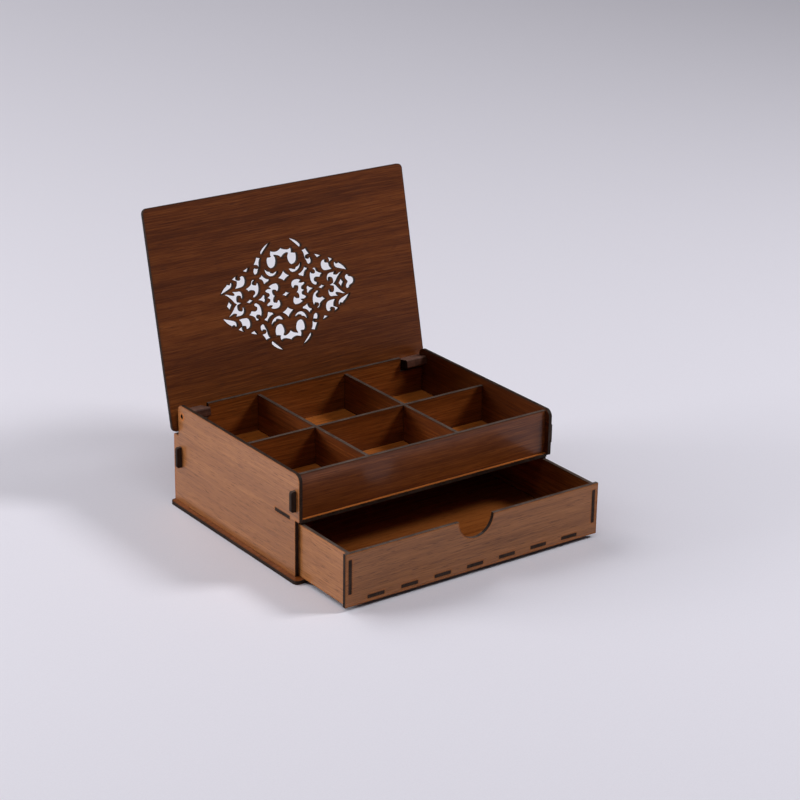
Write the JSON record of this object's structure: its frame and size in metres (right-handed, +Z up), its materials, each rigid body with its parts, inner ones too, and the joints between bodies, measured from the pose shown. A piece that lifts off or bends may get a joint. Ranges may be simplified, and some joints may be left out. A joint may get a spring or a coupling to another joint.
{
  "type": "wooden puzzle box",
  "caption": "Laser-cut wooden keepsake box: pierced hinged lid over a divided tray, with a wide pull-out drawer and finger notch below.",
  "frame": {"origin": "centre of the base's underside, on the surface the box stands on", "axes": "+Z up, +X to the right seen from the front, -Y towards the viewer: the drawer opens along -Y and the lid is hinged at the +Y side"},
  "size_m": [0.26, 0.2905, 0.2483],
  "materials": {
    "walnut_laminate": "satin laminate with scorched cut edges",
    "bare_board": "matt scorched cut edge",
    "pin_steel": "dull darkened steel"
  },
  "bodies": {
    "carcass": {"base_panel": "walnut_laminate", "left_side": "walnut_laminate", "right_side": "walnut_laminate", "back_panel": "walnut_laminate", "front_fascia": "walnut_laminate", "tray_floor": "walnut_laminate", "long_divider": "walnut_laminate", "short_divider_left": "walnut_laminate", "short_divider_right": "walnut_laminate"},
    "drawer": {"drawer_front": "walnut_laminate", "drawer_left_side": "walnut_laminate", "drawer_right_side": "walnut_laminate", "drawer_back": "walnut_laminate", "drawer_floor": "walnut_laminate"},
    "lid": {"lid_panel": "walnut_laminate", "hinge_leaf_left_1": "bare_board", "hinge_leaf_left_2": "bare_board", "hinge_leaf_left_3": "bare_board", "hinge_leaf_left_4": "bare_board", "hinge_leaf_left_5": "bare_board", "hinge_leaf_left_6": "bare_board", "hinge_leaf_left_7": "bare_board", "hinge_leaf_right_1": "bare_board", "hinge_leaf_right_2": "bare_board", "hinge_leaf_right_3": "bare_board", "hinge_leaf_right_4": "bare_board", "hinge_leaf_right_5": "bare_board", "hinge_leaf_right_6": "bare_board", "hinge_leaf_right_7": "bare_board", "hinge_pin_left": "pin_steel", "hinge_pin_right": "pin_steel"}
  },
  "joints": [
    {"name": "lid_hinge", "type": "hinge", "parent": "carcass", "child": "lid", "pos_m": [0, 0.0825, 0.0815], "axis": [1, 0, 0], "range_deg": [0, 103]},
    {"name": "drawer_slide", "type": "slide", "parent": "carcass", "child": "drawer", "axis": [0, -1, 0], "range_m": [-0.0652, 0.06]}
  ]
}
